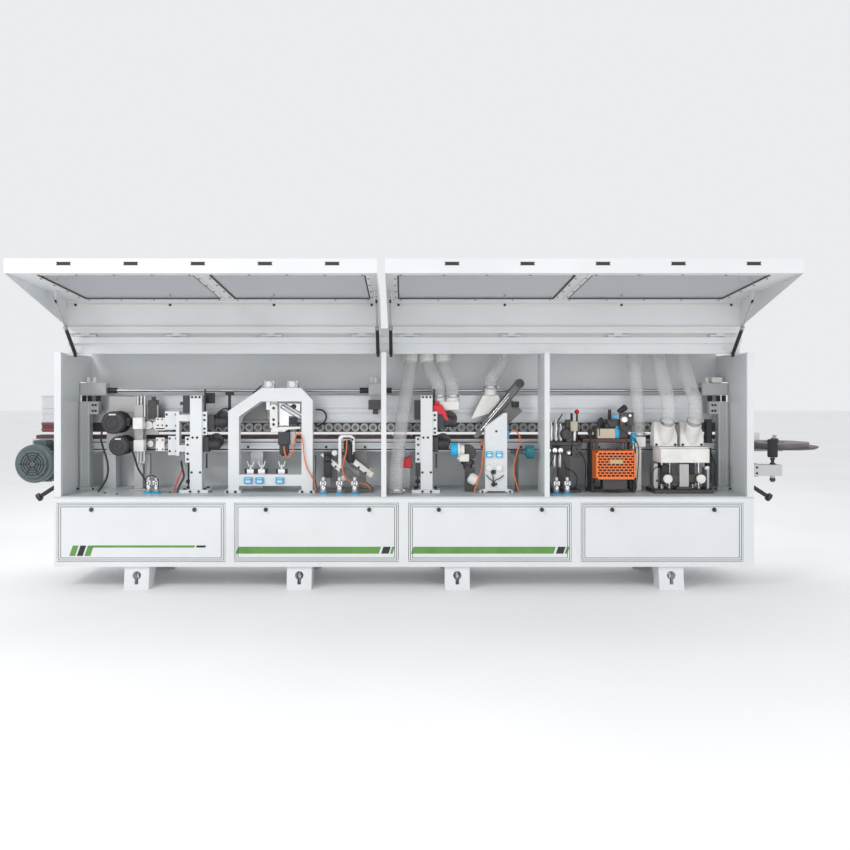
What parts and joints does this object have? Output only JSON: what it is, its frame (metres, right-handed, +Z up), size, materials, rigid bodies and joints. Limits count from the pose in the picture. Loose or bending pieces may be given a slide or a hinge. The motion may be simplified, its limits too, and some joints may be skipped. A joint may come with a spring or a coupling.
{
  "type": "edge banding machine",
  "caption": "Automatic edge banding machine: long base cabinet with doors and feet, working units under two lifting hoods, feed chain, roller pressure beam and tape reel.",
  "frame": {"origin": "on the floor, at the centre of the four corner anchor holes", "axes": "+X to the operator's right along the length of the machine, +Y from the operator's side to the rear, +Z up"},
  "size_m": [4.99, 1.3365, 1.8686],
  "materials": {
    "cabinet_paint": "semi-gloss light grey-white powder coat",
    "table_grey": "satin grey paint",
    "window_glass": "smoky tinted clear panel",
    "steel": "turned steel",
    "black_paint": "satin black",
    "lock_metal": "bright plated",
    "machined_steel": "machined plates",
    "beam_aluminium": "extruded aluminium",
    "roller_rubber": "grey rubber tread",
    "chain_brown": "dark red-brown rubber pads",
    "arm_grey": "dark grey paint",
    "guard_orange": "orange powder coat",
    "glue_steel": "knurled steel",
    "reel_plastic": "brown-grey plastic",
    "buff_cloth": "stitched cotton",
    "hose_clear": "translucent ribbed plastic",
    "hose_orange": "polyurethane air line",
    "cable_black": "black sheath"
  },
  "bodies": {
    "root": {"air_hoses": "hose_orange", "air_regulators": "steel", "base_cabinet": "cabinet_paint", "bay_walls": "cabinet_paint", "buffing_brackets": "machined_steel", "buffing_motors": "black_paint", "drive_motor": "black_paint", "dust_hoods": "cabinet_paint", "dust_hoses": "hose_clear", "end_cut_arm": "arm_grey", "end_cut_post": "cabinet_paint", "feed_chain": "chain_brown", "feet": "cabinet_paint", "glue_guard": "guard_orange", "glue_unit": "machined_steel", "levelling_bolts": "steel", "lift_columns": "table_grey", "lift_gearboxes": "table_grey", "machine_table": "table_grey", "outboard_supports": "table_grey", "power_cables": "cable_black", "premill_unit": "cabinet_paint", "press_unit": "machined_steel", "rear_wall": "cabinet_paint", "roof_beams": "cabinet_paint", "rounding_gantry": "cabinet_paint", "scraper_unit": "machined_steel", "track_beam": "beam_aluminium", "trim_columns": "cabinet_paint", "trim_units": "black_paint"},
    "hood_left": {"hood_left_shell": "cabinet_paint", "hood_left_windows": "window_glass"},
    "strut_left_tubes": {"strut_left_tubes": "black_paint"},
    "strut_left_rods": {"strut_left_rods": "steel"},
    "hood_right": {"hood_right_shell": "cabinet_paint", "hood_right_windows": "window_glass"},
    "strut_right_tubes": {"strut_right_tubes": "black_paint"},
    "strut_right_rods": {"strut_right_rods": "steel"},
    "door_1": {"door_1": "cabinet_paint"},
    "door_1_lock_left": {"door_1_lock_left": "lock_metal"},
    "door_1_lock_right": {"door_1_lock_right": "lock_metal"},
    "door_2": {"door_2": "cabinet_paint"},
    "door_2_lock_left": {"door_2_lock_left": "lock_metal"},
    "door_2_lock_right": {"door_2_lock_right": "lock_metal"},
    "door_3": {"door_3": "cabinet_paint"},
    "door_3_lock_left": {"door_3_lock_left": "lock_metal"},
    "door_3_lock_right": {"door_3_lock_right": "lock_metal"},
    "door_4": {"door_4": "cabinet_paint"},
    "door_4_lock_left": {"door_4_lock_left": "lock_metal"},
    "door_4_lock_right": {"door_4_lock_right": "lock_metal"},
    "pressure_beam": {"pressure_beam": "beam_aluminium", "pressure_rollers": "roller_rubber"},
    "lift_shaft": {"lift_shaft": "steel"},
    "tape_reel": {"tape_reel": "reel_plastic"},
    "guide_roller": {"guide_roller": "roller_rubber"},
    "buff_wheel_upper": {"buff_wheel_upper": "buff_cloth"},
    "buff_wheel_lower": {"buff_wheel_lower": "buff_cloth"},
    "glue_roller": {"glue_roller": "glue_steel"},
    "press_roller": {"press_roller": "steel"},
    "rounding_arm": {"rounding_arm": "machined_steel"}
  },
  "joints": [
    {"name": "hood_left_hinge", "type": "hinge", "parent": "root", "child": "hood_left", "pos_m": [-1.111, -0.15, 1.52], "axis": [1, 0, 0], "range_deg": [0, 88]},
    {"name": "strut_left_swing", "type": "hinge", "parent": "root", "child": "strut_left_tubes", "pos_m": [-1.111, -0.165, 1.4], "axis": [1, 0, 0], "range_deg": [-0.5, 91.95]},
    {"name": "strut_left_stroke", "type": "slide", "parent": "strut_left_tubes", "child": "strut_left_rods", "axis": [0, -0.7014, 0.7127], "range_m": [-0.16749, 0.0008]},
    {"name": "hood_right_hinge", "type": "hinge", "parent": "root", "child": "hood_right", "pos_m": [0.991, -0.15, 1.52], "axis": [1, 0, 0], "range_deg": [0, 88]},
    {"name": "strut_right_swing", "type": "hinge", "parent": "root", "child": "strut_right_tubes", "pos_m": [0.991, -0.165, 1.4], "axis": [1, 0, 0], "range_deg": [-0.5, 91.95]},
    {"name": "strut_right_stroke", "type": "slide", "parent": "strut_right_tubes", "child": "strut_right_rods", "axis": [0, -0.7014, 0.7127], "range_m": [-0.16749, 0.0008]},
    {"name": "door_1_hinge", "type": "hinge", "parent": "root", "child": "door_1", "pos_m": [-1.5595, -0.344, 0.174], "axis": [1, 0, 0], "range_deg": [0, 90]},
    {"name": "door_1_lock_left_turn", "type": "hinge", "parent": "door_1", "child": "door_1_lock_left", "pos_m": [-1.853, -0.35, 0.475], "axis": [0, -1, 0], "range_deg": [0, 90]},
    {"name": "door_1_lock_right_turn", "type": "hinge", "parent": "door_1", "child": "door_1_lock_right", "pos_m": [-1.242, -0.35, 0.475], "axis": [0, 1, 0], "range_deg": [0, 90]},
    {"name": "door_2_hinge", "type": "hinge", "parent": "root", "child": "door_2", "pos_m": [-0.52, -0.344, 0.174], "axis": [1, 0, 0], "range_deg": [0, 90]},
    {"name": "door_2_lock_left_turn", "type": "hinge", "parent": "door_2", "child": "door_2_lock_left", "pos_m": [-0.819, -0.35, 0.475], "axis": [0, -1, 0], "range_deg": [0, 90]},
    {"name": "door_2_lock_right_turn", "type": "hinge", "parent": "door_2", "child": "door_2_lock_right", "pos_m": [-0.206, -0.35, 0.475], "axis": [0, 1, 0], "range_deg": [0, 90]},
    {"name": "door_3_hinge", "type": "hinge", "parent": "root", "child": "door_3", "pos_m": [0.5095, -0.344, 0.174], "axis": [1, 0, 0], "range_deg": [0, 90]},
    {"name": "door_3_lock_left_turn", "type": "hinge", "parent": "door_3", "child": "door_3_lock_left", "pos_m": [0.206, -0.35, 0.475], "axis": [0, -1, 0], "range_deg": [0, 90]},
    {"name": "door_3_lock_right_turn", "type": "hinge", "parent": "door_3", "child": "door_3_lock_right", "pos_m": [0.817, -0.35, 0.475], "axis": [0, 1, 0], "range_deg": [0, 90]},
    {"name": "door_4_hinge", "type": "hinge", "parent": "root", "child": "door_4", "pos_m": [1.5305, -0.344, 0.174], "axis": [1, 0, 0], "range_deg": [0, 90]},
    {"name": "door_4_lock_left_turn", "type": "hinge", "parent": "door_4", "child": "door_4_lock_left", "pos_m": [1.234, -0.35, 0.475], "axis": [0, -1, 0], "range_deg": [0, 90]},
    {"name": "door_4_lock_right_turn", "type": "hinge", "parent": "door_4", "child": "door_4_lock_right", "pos_m": [1.839, -0.35, 0.475], "axis": [0, 1, 0], "range_deg": [0, 90]},
    {"name": "pressure_lift", "type": "slide", "parent": "root", "child": "pressure_beam", "axis": [0, 0, 1], "range_m": [-0.01, 0.04]},
    {"name": "lift_shaft_spin", "type": "hinge", "parent": "root", "child": "lift_shaft", "pos_m": [0, 0.06, 1.181], "axis": [1, 0, 0], "range_deg": [-181, 721]},
    {"name": "tape_reel_spin", "type": "hinge", "parent": "root", "child": "tape_reel", "pos_m": [2.336, -0.035, 0.835], "axis": [0, 0, 1], "continuous": true},
    {"name": "guide_roller_spin", "type": "hinge", "parent": "root", "child": "guide_roller", "pos_m": [2.205, -0.305, 0.835], "axis": [0, 0, 1], "continuous": true},
    {"name": "buff_wheel_upper_spin", "type": "hinge", "parent": "root", "child": "buff_wheel_upper", "pos_m": [-1.8, 0.034, 0.982], "axis": [0, 1, 0], "continuous": true},
    {"name": "buff_wheel_lower_spin", "type": "hinge", "parent": "root", "child": "buff_wheel_lower", "pos_m": [-1.765, 0.034, 0.838], "axis": [0, 1, 0], "continuous": true},
    {"name": "glue_roller_spin", "type": "hinge", "parent": "root", "child": "glue_roller", "pos_m": [1.23, 0.02, 0.915], "axis": [0, 0, 1], "continuous": true},
    {"name": "press_roller_spin", "type": "hinge", "parent": "root", "child": "press_roller", "pos_m": [1.01, 0.018, 0.905], "axis": [0, 0, 1], "continuous": true},
    {"name": "rounding_arm_swing", "type": "hinge", "parent": "root", "child": "rounding_arm", "pos_m": [-0.81, -0.105, 1.072], "axis": [0, 1, 0], "range_deg": [-8, 8]}
  ],
  "couplings": [
    {"joint": "strut_left_swing", "follows": "hood_left_hinge", "ratio": 1.0393},
    {"joint": "strut_left_stroke", "follows": "hood_left_hinge", "m_per_rad": -0.10853},
    {"joint": "strut_right_swing", "follows": "hood_right_hinge", "ratio": 1.0393},
    {"joint": "strut_right_stroke", "follows": "hood_right_hinge", "m_per_rad": -0.10853},
    {"joint": "lift_shaft_spin", "follows": "pressure_lift", "rad_per_m": 314.16}
  ]
}
